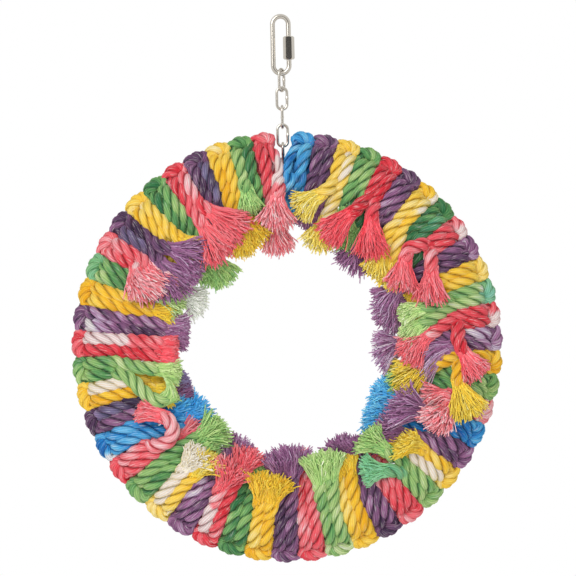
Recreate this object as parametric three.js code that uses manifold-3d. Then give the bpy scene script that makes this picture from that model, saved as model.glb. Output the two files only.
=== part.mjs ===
// Bird ring swing: a steel hoop dressed all round with short dyed cotton ropes, hung from a welded
// chain and a quick link with a screw gate. Each rope is tied round the hoop with a lark's head:
// its bight lies on the outer rim, over its own two ends, which cross the front and fray inwards.
// Millimetres, +Z up. The front faces -Y. The origin is the hang point, inside the top of the link.
import * as THREE from "three";
import Module from "manifold-3d";
import { mergeVertices } from "three/addons/utils/BufferGeometryUtils.js";

// Quick link
const quickLinkWire = 3.5;
const quickLinkLength = 44;
const quickLinkWidth = 14.7;
const nutRest = 4.2; // from the lower bow up to the nut, with the gate shut
const gateOpening = 7.5;
const threadEngagement = 4.45; // of the nut on each side of the gate
const nutAcrossFlats = 7;
const nutChamfer = 0.5;

// Chain
const chainLinkPairs = 2; // below the top link, so that the last link lies across the hoop
const chainWire = 2;
const chainLinkInside = 13.4;
const chainSideGap = 0.6; // beside the thickest wire that a link holds
const firstLinkTurn = 28; // degrees that the top link hangs turned about the vertical

// Hoop
const hoopInside = 260;
const hoopWire = 4;

// Ropes
const dyeRepeats = 3;
const runsPerRepeat = 4; // runs of purple, yellow, green, red after each blue rope
const ropeDiameter = 9.5;
const openingRadius = 70; // clear opening inside the longest frayed ends
const frayStep = 8; // how much shorter the ends are in each layer nearer the front
const chainSlotMargin = 0.6; // free room beside the widest link between the ropes
const crowding = 5.2; // degrees by which the ropes are pushed along the hoop from an even spacing
const closestPlace = 35; // degrees from the chain, clockwise, to where they sit closest

// Fits
const fitGap = 0.3; // between hard pieces that touch
const ropeGap = 0.5; // between ropes, and between a rope and itself

// Facets
const ropeSides = 5;
const chainSides = 6;
const chainSteps = 20;
const quickLinkSides = 10;
const quickLinkSteps = 36;
const hoopSides = 6;
const hoopSteps = 72;
const boreSides = 12;

const steel = { color: 0xc8c3b9, roughness: 0.28, metalness: 1 };
const dyes = {
  blue: 0x2d8cd2,
  purple: 0x69506e,
  yellow: 0xf5be3c,
  green: 0x64af5a,
  red: 0xe64650,
};
const runOfDyes = ["purple", "yellow", "green", "red"];

const degrees = THREE.MathUtils.degToRad;
const swing = new THREE.Group();

function addPiece(parent, name, geometry, look) {
  const mesh = new THREE.Mesh(geometry, new THREE.MeshStandardMaterial(look));
  mesh.name = name;
  parent.add(mesh);
  return mesh;
}

// A closed loop of wire is one surface once the seam's doubled points are merged.
function weld(geometry) {
  geometry.deleteAttribute("normal");
  geometry.deleteAttribute("uv");
  return mergeVertices(geometry, 1e-4);
}

// Quick link: an oval of round wire in the XZ plane, open at the gate in its right leg.
const quickLinkBow = (quickLinkWidth - quickLinkWire) / 2;
const quickLinkTopBow = quickLinkWire / 2 - quickLinkBow;
const quickLinkBar = quickLinkWire * 1.5 - quickLinkLength;
const quickLinkBottomBow = quickLinkBar + quickLinkBow;
const nutBottom = quickLinkBottomBow + nutRest;
const gateBottom = nutBottom + threadEngagement;
const gateTop = gateBottom + gateOpening;

// A half circle of the link's wire about a point on the Z axis, from one angle to another.
function bow(height, from, to) {
  const arc = new THREE.Curve();
  arc.getPoint = (t, target = new THREE.Vector3()) => {
    const angle = THREE.MathUtils.lerp(from, to, t);
    return target.set(quickLinkBow * Math.cos(angle), 0, height + quickLinkBow * Math.sin(angle));
  };
  return arc;
}

function leg(side, from, to) {
  const x = side * quickLinkBow;
  return new THREE.LineCurve3(new THREE.Vector3(x, 0, from), new THREE.Vector3(x, 0, to));
}

function quickLinkBody() {
  const route = new THREE.CurvePath();
  route.add(leg(1, gateTop, quickLinkTopBow));
  route.add(bow(quickLinkTopBow, 0, Math.PI));
  route.add(leg(-1, quickLinkTopBow, quickLinkBottomBow));
  route.add(bow(quickLinkBottomBow, Math.PI, 2 * Math.PI));
  route.add(leg(1, quickLinkBottomBow, gateBottom));
  const section = new THREE.Shape();
  section.absarc(0, 0, quickLinkWire / 2, 0, 2 * Math.PI);
  return weld(
    new THREE.ExtrudeGeometry(section, {
      extrudePath: route,
      steps: quickLinkSteps,
      curveSegments: quickLinkSides / 2,
    }),
  );
}

// Nut: a hexagonal sleeve with a clear bore and chamfered corners, over the gate.
const nutLength = gateOpening + 2 * threadEngagement;
const wasm = await Module();
wasm.setup();

function solid(geometry) {
  const { attributes, index } = weld(geometry);
  return new wasm.Manifold(
    new wasm.Mesh({
      numProp: 3,
      vertProperties: attributes.position.array,
      triVerts: new Uint32Array(index.array),
    }),
  );
}

function geometryOf(body) {
  const { vertProperties, triVerts } = body.getMesh();
  const geometry = new THREE.BufferGeometry();
  geometry.setAttribute("position", new THREE.BufferAttribute(vertProperties, 3));
  geometry.setIndex(new THREE.BufferAttribute(triVerts, 1));
  return geometry;
}

function ring2d(path, radius, sides) {
  for (let i = 0; i < sides; i += 1) {
    const angle = (2 * Math.PI * i) / sides;
    path[i ? "lineTo" : "moveTo"](radius * Math.cos(angle), radius * Math.sin(angle));
  }
  path.closePath();
  return path;
}

function sleeveNut() {
  const corner = nutAcrossFlats / Math.sqrt(3);
  const bore = quickLinkWire / 2 + fitGap;
  const outline = ring2d(new THREE.Shape(), corner, 6);
  outline.holes.push(ring2d(new THREE.Path(), bore, boreSides));
  const sleeve = new THREE.ExtrudeGeometry(outline, { depth: nutLength, bevelEnabled: false });
  const face = nutAcrossFlats / 2 - nutChamfer / 2;
  const girth = face + nutLength / 2; // cones of 45 degrees that meet half way along
  const chamfers = new THREE.LatheGeometry(
    [
      new THREE.Vector2(0, 0),
      new THREE.Vector2(face, 0),
      new THREE.Vector2(girth, nutLength / 2),
      new THREE.Vector2(face, nutLength),
      new THREE.Vector2(0, nutLength),
    ],
    4 * boreSides,
  ).rotateX(Math.PI / 2);
  return geometryOf(solid(sleeve).intersect(solid(chamfers)));
}

const gate = new THREE.Group();
gate.position.set(quickLinkBow, 0, nutBottom);
swing.add(gate);
addPiece(swing, "quick_link_body", quickLinkBody(), steel);
addPiece(gate, "quick_link_nut", sleeveNut(), steel);

// Chain: welded oval links, each hung on the bar above it and turned across it.
const chainLinks = 1 + 2 * chainLinkPairs;
const heldWire = Math.max(hoopWire, quickLinkWire / Math.cos(degrees(firstLinkTurn)));
const chainLinkWidth = heldWire + 2 * (chainSideGap + chainWire);
const chainBow = (chainLinkWidth - chainWire) / 2;
const chainReach = chainLinkInside + chainWire; // between the centres of a link's end bars
const chainDrop = chainReach - chainWire - fitGap; // from one link's top bar to the next one's

// An oval with its top bar's centre at the origin, hanging down -Z in the XZ plane.
function chainLink() {
  const straight = chainReach - 2 * chainBow;
  const half = straight + Math.PI * chainBow;
  const oval = new THREE.Curve();
  oval.getPoint = (t, target = new THREE.Vector3()) => {
    const side = t < 0.5 ? 1 : -1;
    const run = side > 0 ? t * 2 * half : (1 - t) * 2 * half;
    const quarter = (Math.PI / 2) * chainBow;
    const turn = THREE.MathUtils.clamp(run, 0, quarter) + Math.max(0, run - quarter - straight);
    const along = THREE.MathUtils.clamp(run - quarter, 0, straight);
    const angle = turn / chainBow;
    return target.set(side * chainBow * Math.sin(angle), 0, chainBow * (Math.cos(angle) - 1) - along);
  };
  return weld(new THREE.TubeGeometry(oval, chainSteps, chainWire / 2, chainSides, true));
}

const firstLinkTop = quickLinkBar + (quickLinkWire + chainWire) / 2 + fitGap;
for (let i = 0; i < chainLinks; i += 1) {
  const link = addPiece(swing, `chain_link_${i + 1}`, chainLink(), steel);
  const across = i % 2 ? 0 : 90;
  link.position.z = firstLinkTop - i * chainDrop;
  link.rotation.z = degrees(across - (i === 0 ? firstLinkTurn : 0));
}

// Hoop: it hangs in the last link, whose bar passes under the wire.
const lastLinkBar = firstLinkTop - (chainLinks - 1) * chainDrop - chainReach;
const hoopRadius = (hoopInside + hoopWire) / 2;
const hoopTop = lastLinkBar + (chainWire + hoopWire) / 2 + fitGap;
const ringCentre = hoopTop - hoopRadius;

const dressedHoop = new THREE.Group();
dressedHoop.position.z = ringCentre;
swing.add(dressedHoop);
const wire = new THREE.TorusGeometry(hoopRadius, hoopWire / 2, hoopSides, hoopSteps);
addPiece(dressedHoop, "hoop", weld(wire).rotateX(Math.PI / 2), steel);

// Ropes fill the hoop, apart from the slot at the top where the chain passes between them.
const ropesPerRepeat = 1 + runsPerRepeat * runOfDyes.length;
const ropeCount = dyeRepeats * ropesPerRepeat;
const layers = dyeRepeats; // so that the layers of frayed ends close round the hoop
const slotRadius = lastLinkBar + chainReach - fitGap - 2 * chainWire - ringCentre;
const slotAngle = 2 * Math.asin((chainLinkWidth / 2 + chainSlotMargin) / slotRadius);

// The angle at which rope i begins, clockwise from the chain.
function ropeStart(i) {
  const share = i / ropeCount;
  const even = slotAngle / 2 + share * (2 * Math.PI - slotAngle);
  const closest = degrees(closestPlace);
  const pushed = Math.sin(2 * Math.PI * share - closest) + Math.sin(closest);
  return even - degrees(crowding) * pushed;
}

// A rope's section is a polygon with a point outwards and a flat towards what it lies on.
const thick = ropeDiameter / 2;
const flat = thick * Math.cos(Math.PI / ropeSides);
const wrapStep = degrees(60); // the most between two sections of the wrap round the wire
const wrap = (hoopWire / 2 + fitGap) / Math.cos(wrapStep / 2) + flat;
const overWrap = wrap + thick + ropeGap + flat;
const layerStep = thick + flat + ropeGap;

// Shares of the half width that a rope's legs and ends fill where they are squeezed side by side.
const endShare = 0.66;
const legShare = 0.72;
const frayShare = layers - 0.15;

// The sideways place of a share of the room between a rope's middle and its neighbour.
function sideways(radius, share, angle) {
  const room = radius * Math.tan(angle / 2) - ropeGap;
  return ropeGap / 2 + share * room;
}

// A station round the wire: angle from straight out towards the front, distance from the wire,
// slant of the section's outward side, and the shares between which it lies.
function round(angle, distance, slant, from, to) {
  const a = degrees(angle);
  const out = distance * Math.cos(a);
  const front = distance * Math.sin(a);
  return { out, front, slant: degrees(slant), from, to };
}

// One half of the rope, from beside the bight to its frayed end.
function halfRope(layer) {
  const end = openingRadius + (layers - 1 - layer) * frayStep - hoopRadius;
  const sorted = -overWrap - ropeDiameter; // here the ends have sorted into layers
  const front = overWrap + layerStep * (1 - layer);
  const slant = degrees(90);
  return [
    round(36, overWrap, 36, legShare, 1),
    round(80, wrap, 80, legShare, 1),
    round(138, wrap, 138, 0, 1),
    round(190, wrap, 190, 0, 1),
    round(242, wrap, 242, 0, 1),
    round(294, wrap, 294, 0, 1),
    round(350, wrap, 350, 0, endShare),
    round(57, overWrap + thick, 75, 0, endShare),
    round(115, overWrap + 2 * ropeGap, 100, 0, 1),
    { out: sorted, front, slant, from: 0, to: 1 },
    { out: end, front, slant, from: 0, to: frayShare },
  ];
}

// The ring of points of one station of a rope that fills an angle, on the side given by sign.
function section(station, sign, angle) {
  const points = [];
  const { out, front, slant, from, to } = station;
  const widest = Math.cos(Math.PI / 2 / ropeSides);
  for (let k = 0; k < ropeSides; k += 1) {
    const turn = Math.PI / 2 + (2 * Math.PI * k) / ropeSides;
    const lift = thick * Math.sin(turn);
    const radius = hoopRadius + out + lift * Math.cos(slant);
    const share = (from + to - (Math.cos(turn) * (to - from)) / widest) / 2;
    points.push([radius, front + lift * Math.sin(slant), sign * sideways(radius, share, angle)]);
  }
  return points;
}

// The middle of the bight lies along the rim, so its section stands across the hoop.
function bightSection() {
  const points = [];
  for (let k = 0; k < ropeSides; k += 1) {
    const turn = Math.PI / 2 + (2 * Math.PI * k) / ropeSides;
    points.push([hoopRadius + overWrap + thick * Math.sin(turn), thick * Math.cos(turn), 0]);
  }
  return points;
}

function ropeRings(layer, angle) {
  const half = halfRope(layer);
  const before = half.map((station) => section(station, -1, angle)).reverse();
  const after = half.map((station) => section(station, 1, angle));
  return [...before, bightSection(), ...after];
}

// The least distance between points of the rope's surface that lie three or more rings apart.
function leastGap(rings) {
  const samples = [];
  rings.forEach((ring, i) => {
    const next = rings[Math.min(i + 1, rings.length - 1)];
    ring.forEach((point, k) => {
      const beside = ring[(k + 1) % ropeSides];
      for (const along of [0, 0.25, 0.5, 0.75]) {
        for (const across of [0, 0.5]) {
          const a = new THREE.Vector3(...point).lerp(new THREE.Vector3(...beside), across);
          const b = new THREE.Vector3(...next[k]);
          b.lerp(new THREE.Vector3(...next[(k + 1) % ropeSides]), across);
          samples.push({ i, at: a.lerp(b, along) });
        }
      }
    });
  });
  let least = Infinity;
  for (const a of samples) {
    for (const b of samples) {
      if (b.i - a.i >= 3) least = Math.min(least, a.at.distanceTo(b.at));
    }
  }
  return least;
}

// Faces of one unbroken tube through the rings, closed by a cap at each frayed end.
function ropeGeometry(rings) {
  const positions = [];
  const faces = [];
  rings.forEach((ring) => {
    ring.forEach(([radius, front, side]) => positions.push(side, -front, radius));
  });
  const at = (i, k) => i * ropeSides + (k % ropeSides);
  for (let i = 0; i + 1 < rings.length; i += 1) {
    for (let k = 0; k < ropeSides; k += 1) {
      faces.push(at(i, k), at(i + 1, k), at(i, k + 1));
      faces.push(at(i, k + 1), at(i + 1, k), at(i + 1, k + 1));
    }
  }
  const last = rings.length - 1;
  for (let k = 1; k + 1 < ropeSides; k += 1) {
    faces.push(at(0, 0), at(0, k), at(0, k + 1));
    faces.push(at(last, 0), at(last, k + 1), at(last, k));
  }
  const geometry = new THREE.BufferGeometry();
  geometry.setAttribute("position", new THREE.Float32BufferAttribute(positions, 3));
  geometry.setIndex(faces);
  return geometry;
}

let least = Infinity;
for (let i = 0; i < ropeCount; i += 1) {
  const place = i % ropesPerRepeat;
  const dye = place ? runOfDyes[(place - 1) % runOfDyes.length] : "blue";
  const name = `rope_${String(i + 1).padStart(2, "0")}_${dye}`;
  const look = { color: dyes[dye], roughness: 0.95, metalness: 0 };
  const from = ropeStart(i);
  const to = ropeStart(i + 1);
  const rings = ropeRings((i + 1) % layers, to - from);
  const rope = addPiece(dressedHoop, name, ropeGeometry(rings), look);
  rope.rotation.y = (from + to) / 2;
  least = Math.min(least, leastGap(rings));
}
console.log(`least gap of a rope to itself ${least.toFixed(2)} mm`);

export default swing;
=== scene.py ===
"""Bird ring swing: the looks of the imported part, in the frame of its solids.

Shapes are worked out in millimetres, with +Z up and the front towards -Y, and put into Blender in
metres. Every rope is three twisted strands carried along one path: up one end, through its lark's
head round the hoop and down the other end, where the strands fray into loose yarns.
"""

import logging
import math
from dataclasses import dataclass
from enum import Enum

import bpy
import numpy as np
from mathutils import Matrix, Vector


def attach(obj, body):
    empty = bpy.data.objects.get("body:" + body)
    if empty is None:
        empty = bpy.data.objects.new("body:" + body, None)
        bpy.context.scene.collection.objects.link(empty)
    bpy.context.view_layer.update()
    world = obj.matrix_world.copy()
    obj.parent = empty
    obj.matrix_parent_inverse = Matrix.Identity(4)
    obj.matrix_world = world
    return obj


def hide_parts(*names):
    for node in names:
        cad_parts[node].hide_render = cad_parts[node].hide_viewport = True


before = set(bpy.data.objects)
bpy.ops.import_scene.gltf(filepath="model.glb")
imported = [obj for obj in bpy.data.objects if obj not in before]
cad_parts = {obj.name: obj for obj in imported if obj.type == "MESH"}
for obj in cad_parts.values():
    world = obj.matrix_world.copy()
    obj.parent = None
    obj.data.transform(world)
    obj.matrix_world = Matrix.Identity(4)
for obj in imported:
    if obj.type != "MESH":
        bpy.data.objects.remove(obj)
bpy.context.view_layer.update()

Array = np.ndarray
Arrays = tuple[Array, ...]
Material = bpy.types.Material
Piece = bpy.types.Object
Socket = bpy.types.NodeSocket

LOG = logging.getLogger("ring_swing")
METRES = 0.001
FRONT = np.array([0.0, -1.0, 0.0])
FULL_TURN = 2.0 * math.pi


def unit(vectors: Array) -> Array:
    """Scales vectors to length one along the last axis."""
    return vectors / np.maximum(np.linalg.norm(vectors, axis=-1, keepdims=True), 1e-9)


def across(vectors: Array, along: Array) -> Array:
    """Takes out of each vector its share along a unit direction, and scales the rest to one."""
    return unit(vectors - np.sum(vectors * along, axis=-1, keepdims=True) * along)


def ease(value: Array) -> Array:
    """Smooth step: three times the square less twice the cube, held between 0 and 1."""
    held = np.clip(value, 0.0, 1.0)
    return held * held * (3.0 - 2.0 * held)


def linear(colour: tuple[int, int, int]) -> tuple[float, float, float, float]:
    """Turns a colour as seen on a screen, 0 to 255, into linear light.

    Args:
        colour: red, green and blue.

    Returns:
        Linear red, green and blue with an alpha of one.
    """
    share = [channel / 255.0 for channel in colour]
    light = [c / 12.92 if c <= 0.04045 else ((c + 0.055) / 1.055) ** 2.4 for c in share]
    return (light[0], light[1], light[2], 1.0)


def lengths(points: Array) -> Array:
    """Length along a row of points at each of them, from 0 at the first."""
    return np.concatenate([[0.0], np.cumsum(np.linalg.norm(np.diff(points, axis=0), axis=1))])


def circle(first: Array, second: Array, sides: int, stretch: float = 1.0) -> Array:
    """Unit circles from one direction towards a second, stretched along that one."""
    turn = FULL_TURN * np.arange(sides)[:, None] / sides
    return first[..., None, :] * np.cos(turn) + second[..., None, :] * np.sin(turn) * stretch


def within(share: Array, low: float, high: float, soft: float) -> Array:
    """One between two places along a rope, easing to nought over a soft share outside them."""
    return ease((share - low) / soft + 1.0) * ease((high - share) / soft + 1.0)


def linked(name: str, data: bpy.types.ID) -> Piece:
    """Makes an object of a mesh, lamp or camera and links it to the scene."""
    obj = bpy.data.objects.new(name, data)
    bpy.context.scene.collection.objects.link(obj)
    return obj


@dataclass
class Surface:
    """A mesh of quads with a map per corner and a dye value per point, which on strands also carries
    painted crease shade.
    """

    points: Array
    quads: Array
    uvs: Array
    dye: Array

    @classmethod
    def joined(cls, parts: list["Surface"]) -> "Surface":
        """Puts several surfaces into one, with each one's quads counted on from the last."""
        starts = np.cumsum([0] + [len(part.points) for part in parts[:-1]])
        return cls(
            np.concatenate([part.points for part in parts]),
            np.concatenate([part.quads + start for part, start in zip(parts, starts)]),
            np.concatenate([part.uvs for part in parts]),
            np.concatenate([part.dye for part in parts]),
        )

    def piece(self, name: str, material: Material) -> Piece:
        """Makes a smooth Blender object of the surface, in metres, at the origin.

        Args:
            name: the object's name.
            material: its only material.

        Returns:
            The linked object.
        """
        mesh = bpy.data.meshes.new(name)
        mesh.vertices.add(len(self.points))
        mesh.vertices.foreach_set("co", (self.points * METRES).astype(np.float32).ravel())
        mesh.loops.add(self.quads.size)
        mesh.loops.foreach_set("vertex_index", self.quads.astype(np.int32).ravel())
        mesh.polygons.add(len(self.quads))
        mesh.polygons.foreach_set("loop_start", np.arange(0, self.quads.size, 4, dtype=np.int32))
        mesh.polygons.foreach_set("use_smooth", np.ones(len(self.quads), dtype=bool))
        mesh.uv_layers.new(name="Yarn").uv.foreach_set("vector", self.uvs.astype(np.float32).ravel())
        # The dye attribute holds tone, second hue, chance and alpha; on strands the tone and alpha also
        # carry painted crease shade.
        dye_and_crease_shade = mesh.attributes.new("dye", "FLOAT_COLOR", "POINT")
        dye_and_crease_shade.data.foreach_set("color", self.dye.astype(np.float32).ravel())
        mesh.update(calc_edges=True)
        mesh.materials.append(material)
        return linked(name, mesh)


def grid_quads(rings: int, sides: int, closed: bool) -> Array:
    """Corner indices of the quads between neighbouring rings of points.

    Args:
        rings: number of rings.
        sides: points in each ring, which closes on itself.
        closed: whether the last ring joins the first.

    Returns:
        An array of four indices for each quad, facing out when the ring turns about its path.
    """
    ring = np.arange(rings if closed else rings - 1)[:, None]
    side = np.arange(sides)[None, :]
    after = (ring + 1) % rings
    beside = (side + 1) % sides
    corners = [ring * sides + side, ring * sides + beside, after * sides + beside, after * sides + side]
    return np.stack(np.broadcast_arrays(*corners), axis=-1).reshape(-1, 4)


def grid_uvs(along: Array, sides: int, closed: bool, start: float = 0.0) -> Array:
    """A map of quads: u goes from 0 to 1 round the ring, v is the length along the path.

    Args:
        along: length along the path at each ring, in millimetres.
        sides: points in each ring.
        closed: whether the last ring joins the first.
        start: u of the first side.

    Returns:
        A u and a v for each corner of each quad.
    """
    step = along[1] - along[0]
    low = along if closed else along[:-1]
    high = np.append(along[1:], along[-1] + step) if closed else along[1:]
    u = start + np.arange(sides) / sides
    u0, v0 = np.meshgrid(u, low)
    u1, v1 = np.meshgrid(u + 1.0 / sides, high)
    corners = [(u0, v0), (u1, v0), (u1, v1), (u0, v1)]
    return np.stack([np.stack(c, axis=-1) for c in corners], axis=2).reshape(-1, 2)


def wire(path: Array, outward: Array, radius: Array, sides: int, closed: bool) -> Surface:
    """A round wire: a circle across the path, carried along it.

    Args:
        path: points of the centre line.
        outward: a direction across the path at each point, where the circle starts.
        radius: radius at each point and side, or at each point.
        sides: points in each circle.
        closed: whether the wire joins its own start.

    Returns:
        The surface, with no dye.
    """
    before = np.roll(path, 1, axis=0) if closed else np.vstack([2 * path[0] - path[1], path[:-1]])
    after = np.roll(path, -1, axis=0) if closed else np.vstack([path[1:], 2 * path[-1] - path[-2]])
    along = unit(after - before)
    normal = across(outward, along)
    size = np.broadcast_to(np.reshape(radius, (len(path), -1)), (len(path), sides))
    points = path[:, None] + circle(normal, np.cross(along, normal), sides) * size[..., None]
    length = np.cumsum(np.linalg.norm(path - before, axis=1))
    dye = np.ones((points.shape[0] * sides, 4))
    return Surface(
        points.reshape(-1, 3), grid_quads(len(path), sides, closed), grid_uvs(length, sides, closed), dye
    )


class Graph:
    """A small helper that adds and links the nodes of one material or world."""

    def __init__(self, tree: bpy.types.NodeTree) -> None:
        """Starts from an empty tree."""
        self.tree = tree
        tree.nodes.clear()

    @classmethod
    def material(cls, name: str) -> tuple[Material, "Graph"]:
        """Makes a material and gives it with its graph."""
        made = bpy.data.materials.new(name)
        made.use_nodes = True
        return made, cls(made.node_tree)

    def add(self, kind: str, **inputs: object) -> bpy.types.Node:
        """Adds a node, links or sets its inputs, and sets its properties.

        Args:
            kind: the node's type.
            inputs: sockets by name with underscores for spaces, or _0, _1 by number; a name that
                is no socket is a property of the node.

        Returns:
            The node.
        """
        node = self.tree.nodes.new(kind)
        sockets = {}
        for key, value in inputs.items():
            name = key.replace("_", " ")
            if key[0] == "_" and key[1:].isdigit():
                sockets[int(key[1:])] = value
            elif name in node.inputs:
                sockets[name] = value
            else:
                setattr(node, key, value)
        for key, value in sockets.items():
            if isinstance(value, Socket):
                self.tree.links.new(value, node.inputs[key])
            else:
                node.inputs[key].default_value = value
        return node

    def math(self, operation: str, *values: object) -> Socket:
        """Adds a math node and gives its result."""
        inputs = {f"_{i}": value for i, value in enumerate(values)}
        return self.add("ShaderNodeMath", operation=operation, **inputs).outputs[0]

    def times(self, first: object, second: object) -> Socket:
        """Multiplies two values."""
        return self.math("MULTIPLY", first, second)

    def line(self, value: object, slope: object, start: object) -> Socket:
        """Multiplies a value by a slope and adds a start."""
        return self.math("MULTIPLY_ADD", value, slope, start)

    def span(self, value: object, source: tuple[float, ...], target: tuple[float, ...]) -> Socket:
        """Maps one range of a value to another, held at its ends."""
        ends = dict(From_Min=source[0], From_Max=source[1], To_Min=target[0], To_Max=target[1])
        return self.add("ShaderNodeMapRange", Value=value, **ends).outputs[0]

    def ramp(self, value: object, stops: list[tuple[float, tuple]]) -> Socket:
        """Adds a colour ramp through the stops and gives its colour."""
        node = self.add("ShaderNodeValToRGB", Fac=value)
        elements = node.color_ramp.elements
        elements[0].position, elements[0].color = stops[0]
        elements[1].position, elements[1].color = stops[-1]
        for place, colour in stops[1:-1]:
            elements.new(place).color = colour
        return node.outputs["Color"]

    def mix(self, share: object, first: object, second: object, blend: str = "MIX") -> Socket:
        """Adds a colour mix and gives its colour."""
        node = self.add("ShaderNodeMix", data_type="RGBA", blend_type=blend, _0=share, _6=first, _7=second)
        return node.outputs[2]


class Dye(Enum):
    """The five dyes, in the words of the part's material slots."""

    BLUE = "rope_blue"
    PURPLE = "rope_purple"
    YELLOW = "rope_yellow"
    GREEN = "rope_green"
    RED = "rope_red"


@dataclass(frozen=True)
class Grain:
    """A noise on the yarns, by how fast it changes round, along and between strands."""

    around: float
    along: float
    apart: float
    scale: float
    detail: float
    roughness: float = 0.5

    def noise(self, graph: Graph, phase: object, along: object, chance: object) -> Socket:
        """Adds the noise to a graph.

        Args:
            graph: the material's graph.
            phase: number of the yarn round the strand.
            along: length along the strand.
            chance: the strand's own number.

        Returns:
            The noise's value.
        """
        spot = graph.add(
            "ShaderNodeCombineXYZ",
            X=graph.times(phase, self.around),
            Y=graph.times(along, self.along),
            Z=graph.times(chance, self.apart),
        )
        look = dict(Scale=self.scale, Detail=self.detail, Roughness=self.roughness)
        return graph.add("ShaderNodeTexNoise", Vector=spot.outputs[0], **look).outputs[0]


STREAK = Grain(1.0, 0.05, 37.0, 1.1, 2.0, 0.6)
FIBRE = Grain(4.0, 0.9, 37.0, 1.6, 3.0, 0.65)
FLECK = Grain(1.9, 0.13, 91.0, 1.5, 1.5)


@dataclass(frozen=True)
class CottonFinish:
    """Space-dyed cotton: colours from the deepest dye to the undyed fibre, and a second hue.

    Gains scale the colour of the laid strands and of the loose yarns; the loose yarns' higher gain is
    painted light that brightens them against their own shade. The loose tone shifts the yarns towards
    the pale or, below 0, the deep dye. Groove and crease shade are painted shade, between the yarns
    and on the strands' flanks.
    """

    deep: tuple[int, int, int]
    main: tuple[int, int, int]
    light: tuple[int, int, int]
    pale: tuple[int, int, int]
    accent: tuple[int, int, int]
    undyed: tuple[int, int, int] = (240, 236, 232)
    yarns_round: float = 9.0
    yarn_slope: float = 0.42
    streaks: float = 0.64
    mottle: float = 0.22
    groove_painted_shade: float = 0.36
    crease_shade: float = 0.56
    flecks: float = 0.5
    loose_flecks: float = 0.4
    laid_gain: float = 0.82
    loose_painted_light_gain: float = 1.0
    loose_tone: float = 0.0
    brightest: float = 0.93
    sheen: float = 0.6

    def material(self, dye: Dye) -> Material:
        """Builds the material, which reads the strand's own map and its dye value.

        Args:
            dye: which dye it is, for the name.

        Returns:
            The material.
        """
        made, graph = Graph.material(dye.value)
        place = graph.add("ShaderNodeUVMap", uv_map="Yarn").outputs[0]
        split = graph.add("ShaderNodeSeparateXYZ", Vector=place)
        around, along = split.outputs[0], split.outputs[1]
        value = graph.add("ShaderNodeAttribute", attribute_name="dye").outputs
        parts = graph.add("ShaderNodeSeparateColor", Color=value["Color"])
        given, second, chance = parts.outputs[0], parts.outputs[1], parts.outputs[2]
        # Alpha is 0 on loose yarns, and on strands falls from 1 on the crest to 0.5 in the crease; the
        # crease mask made from it carries painted shade.
        loose = graph.math("LESS_THAN", value["Alpha"], 0.25)
        crease_painted_shade = graph.times(graph.math("SUBTRACT", 1.0, loose), graph.line(value["Alpha"], -2.0, 2.0))
        not_bare = graph.math("MINIMUM", 1.0, graph.line(given, -4.0, 3.8))
        shift = graph.times(loose, graph.math("MAXIMUM", 0.0, not_bare))
        tone = graph.line(shift, self.loose_tone, given)
        phase = graph.line(around, self.yarns_round, graph.times(along, self.yarn_slope))
        crest = graph.math("COSINE", graph.times(phase, FULL_TURN))
        streak = STREAK.noise(graph, phase, along, chance)
        fibre = FIBRE.noise(graph, phase, along, chance)
        shifted = graph.line(graph.math("SUBTRACT", streak, 0.5), self.streaks, tone)
        mottled = graph.line(graph.math("SUBTRACT", fibre, 0.5), self.mottle, shifted)
        colours = (self.deep, self.main, self.light, self.pale, self.undyed)
        stops = [(at, linear(colour)) for at, colour in zip((0.0, 0.32, 0.62, 0.85, 1.0), colours)]
        hue = graph.mix(second, graph.ramp(mottled, stops), linear(self.accent))
        fleck = FLECK.noise(graph, phase, along, chance)
        bare = graph.span(fleck, (0.57, 0.72), (0.0, self.flecks))
        few = graph.times(bare, graph.line(loose, self.loose_flecks - 1.0, 1.0))
        shaded = graph.mix(few, hue, linear(self.undyed))
        lift = graph.line(crest, 0.5, 0.5)
        # Painted shade: the colour is multiplied towards the deep dye in the grooves between yarns.
        groove_shade_share = graph.times(graph.math("SUBTRACT", 1.0, lift), self.groove_painted_shade)
        groove_shaded = graph.mix(groove_shade_share, shaded, linear(self.deep), "MULTIPLY")
        # Painted light and shade: the loose yarns are made brighter than the laid strands against their
        # own shade, and the strands' creases are darkened.
        painted_gain = graph.line(loose, self.loose_painted_light_gain - self.laid_gain, self.laid_gain)
        scale = graph.times(painted_gain, graph.line(crease_painted_shade, -self.crease_shade, 1.0))
        painted_light_and_shade = graph.add("ShaderNodeVectorMath", operation="SCALE", _0=groove_shaded, Scale=scale)
        most = (self.brightest,) * 3
        colour = graph.add("ShaderNodeVectorMath", operation="MINIMUM", _0=painted_light_and_shade.outputs[0], _1=most)
        height = graph.line(fibre, 0.9, lift)
        bump = graph.add("ShaderNodeBump", Strength=0.55, Distance=0.0004, Height=height)
        shader = graph.add(
            "ShaderNodeBsdfPrincipled",
            Base_Color=colour.outputs[0],
            Roughness=0.95,
            Specular_IOR_Level=0.18,
            Sheen_Weight=self.sheen,
            Sheen_Roughness=0.5,
            Sheen_Tint=linear(self.light),
            Normal=bump.outputs[0],
        )
        graph.add("ShaderNodeOutputMaterial", Surface=shader.outputs[0])
        return made


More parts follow.
